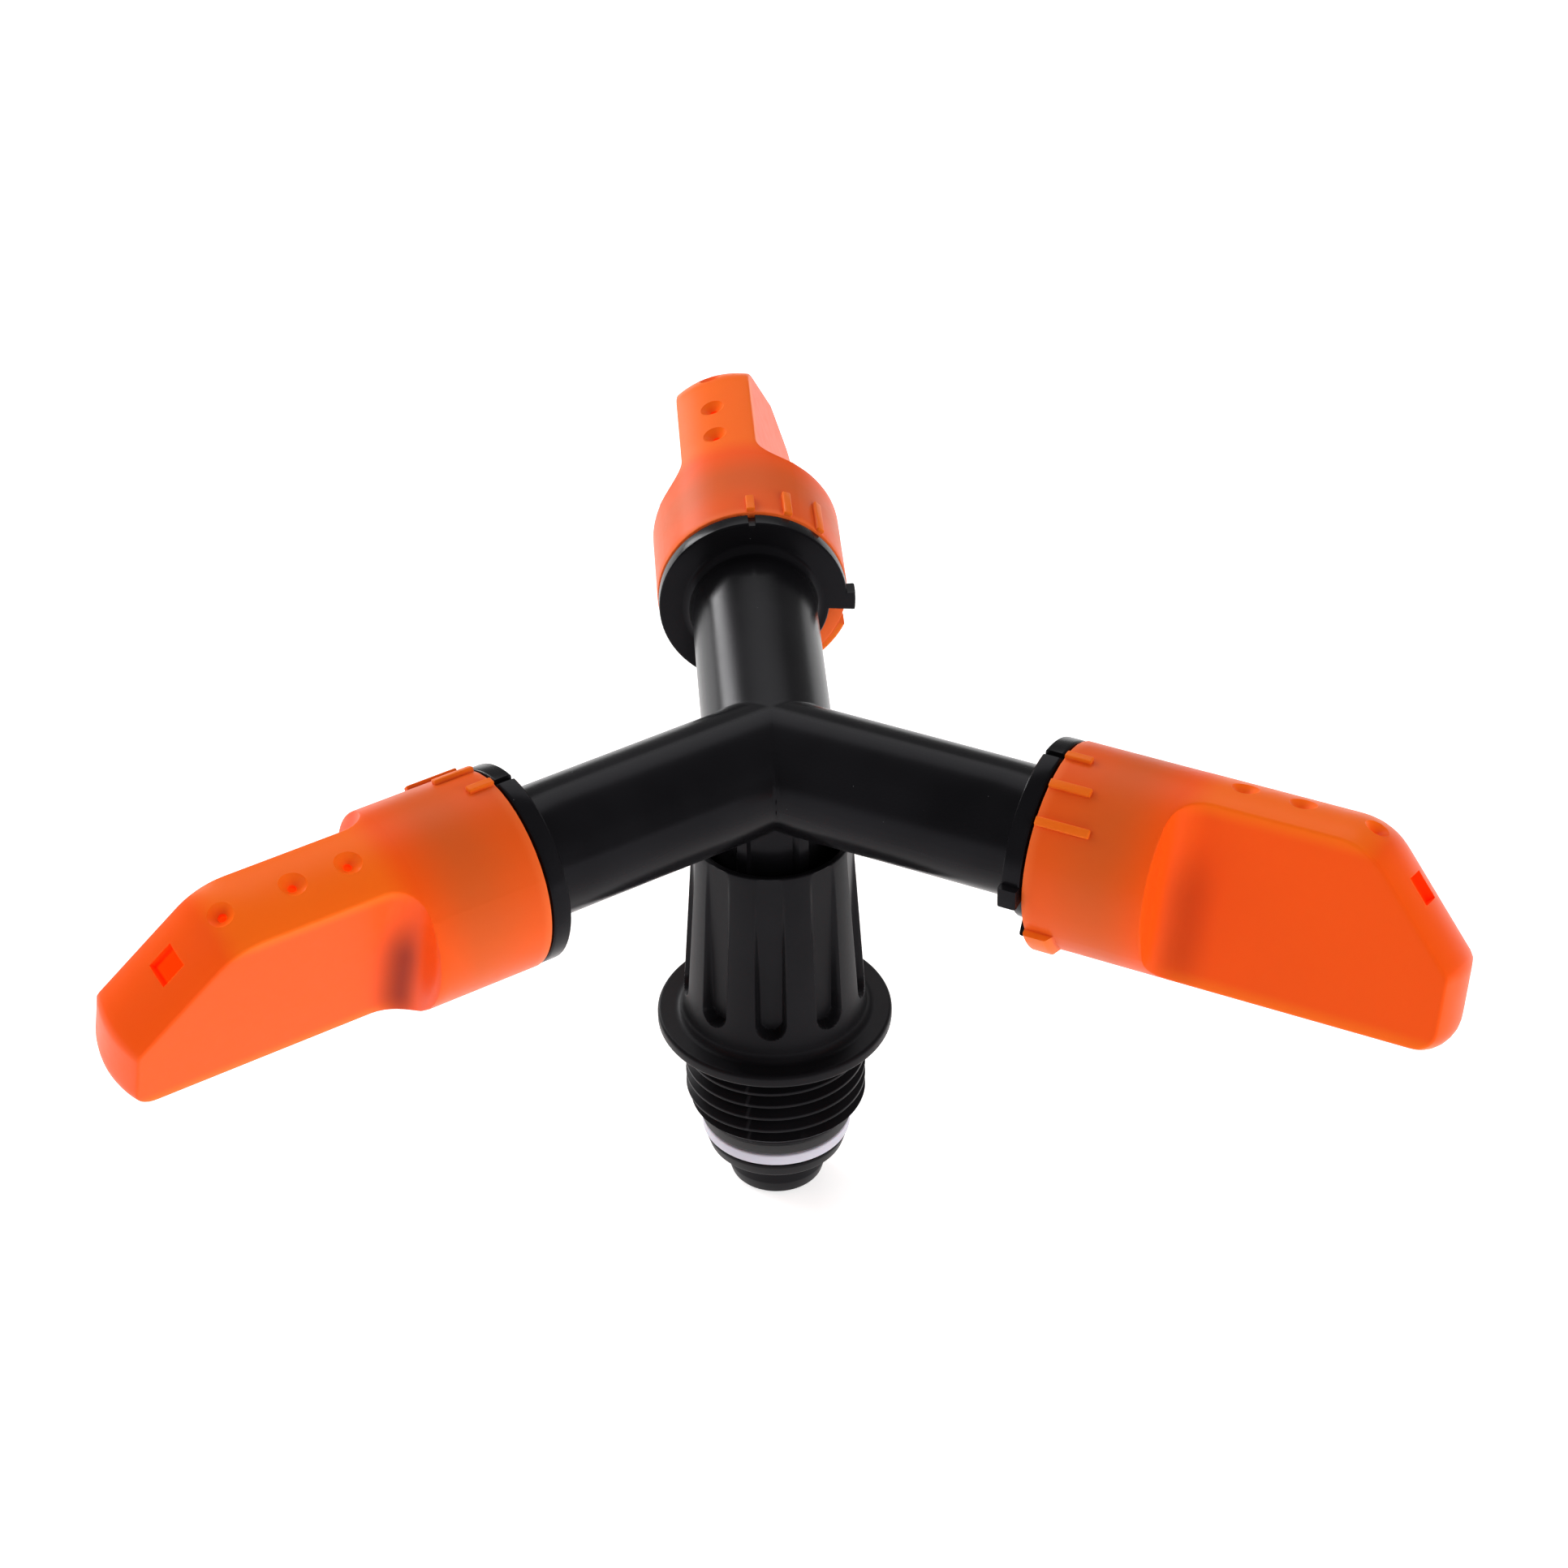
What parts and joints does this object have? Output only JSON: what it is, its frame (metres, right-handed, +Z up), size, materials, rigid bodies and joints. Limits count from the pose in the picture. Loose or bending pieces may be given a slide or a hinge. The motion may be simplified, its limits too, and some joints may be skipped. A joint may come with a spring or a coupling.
{
  "type": "rotating garden sprinkler",
  "caption": "Rotating garden sprinkler: hollow arms on a threaded stem, each arm ending in a turnable spray nozzle with jet holes.",
  "frame": {"origin": "on the stem axis, in the plane of the base flange's underside, where the flange seats on the socket that the stem screws into", "axes": "+Z up along the stem; one arm points along +Y and the other two 120 degrees either side of it"},
  "size_m": [0.1443, 0.1264, 0.0699],
  "materials": {
    "base_plastic": "satin moulded black plastic",
    "rotor_plastic": "glossy moulded black plastic with fine scratches",
    "stem_plastic": "satin dark grey plastic",
    "bush_plastic": "natural white low-friction plastic",
    "seal_rubber": "black rubber",
    "nozzle_plastic": "translucent orange moulded plastic"
  },
  "bodies": {
    "base": {"base_body": "base_plastic", "flanged_bush": "bush_plastic", "lower_seal_ring": "seal_rubber", "stem_o_ring": "seal_rubber", "upper_thrust_washer": "bush_plastic"},
    "rotor": {"rotor_spider": "rotor_plastic", "spindle_tube": "stem_plastic", "retaining_nut": "stem_plastic", "nozzle_seal_back": "seal_rubber", "nozzle_seal_left": "seal_rubber", "nozzle_seal_right": "seal_rubber"},
    "nozzle_back_body": {"nozzle_back": "nozzle_plastic"},
    "nozzle_left_body": {"nozzle_left": "nozzle_plastic"},
    "nozzle_right_body": {"nozzle_right": "nozzle_plastic"}
  },
  "joints": [
    {"name": "rotor_spin", "type": "hinge", "parent": "base", "child": "rotor", "pos_m": [0, 0, 0.03555], "axis": [0, 0, 1], "continuous": true},
    {"name": "nozzle_back_turn", "type": "hinge", "parent": "rotor", "child": "nozzle_back_body", "pos_m": [0, 0.0349, 0.03555], "axis": [0, -1, 0], "range_deg": [0, 45]},
    {"name": "nozzle_left_turn", "type": "hinge", "parent": "rotor", "child": "nozzle_left_body", "pos_m": [-0.03022, -0.01745, 0.03555], "axis": [0.866, 0.5, 0], "range_deg": [0, 45]},
    {"name": "nozzle_right_turn", "type": "hinge", "parent": "rotor", "child": "nozzle_right_body", "pos_m": [0.03022, -0.01745, 0.03555], "axis": [-0.866, 0.5, 0], "range_deg": [0, 45]}
  ]
}
